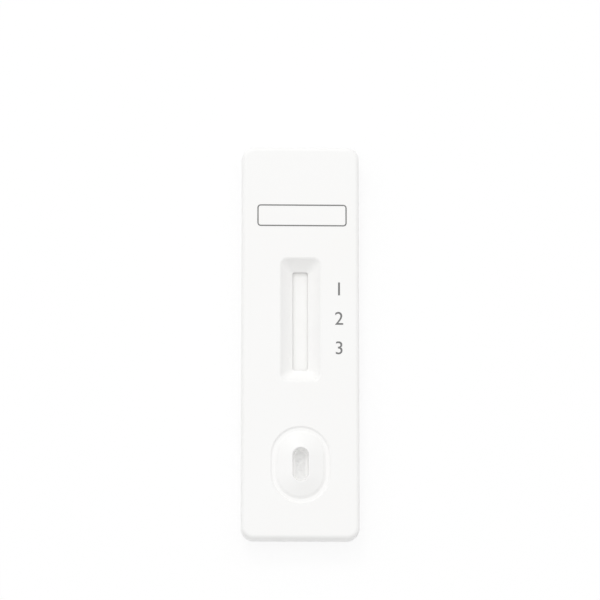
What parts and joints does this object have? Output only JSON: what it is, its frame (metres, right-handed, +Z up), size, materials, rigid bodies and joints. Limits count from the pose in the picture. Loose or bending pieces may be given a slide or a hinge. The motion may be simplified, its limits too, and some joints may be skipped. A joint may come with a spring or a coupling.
{
  "type": "lateral flow cassette",
  "caption": "Flat white two-shell plastic cassette with a sloped read window, a raised oval sample well and a layered test strip inside.",
  "frame": {"origin": "middle of the flat underside, on the surface that the cassette lies on", "axes": "+Y along the cassette towards its head end, away from the sample well; +X across it, to the right seen from above with the head end up; +Z up, out of the face with the window"},
  "size_m": [0.0208, 0.07, 0.0052],
  "materials": {
    "shell_plastic": "satin moulded polystyrene",
    "card_plastic": "smooth white plastic card",
    "membrane": "fine porous membrane",
    "glass_fibre": "glass fibre felt",
    "cotton_pad": "pressed cellulose fibre"
  },
  "bodies": {
    "root": {"upper_shell": "shell_plastic", "lower_shell": "shell_plastic", "backing_card": "card_plastic", "nitrocellulose_membrane": "membrane", "conjugate_pad": "glass_fibre", "sample_pad": "cotton_pad", "absorbent_pad": "cotton_pad"}
  },
  "joints": []
}
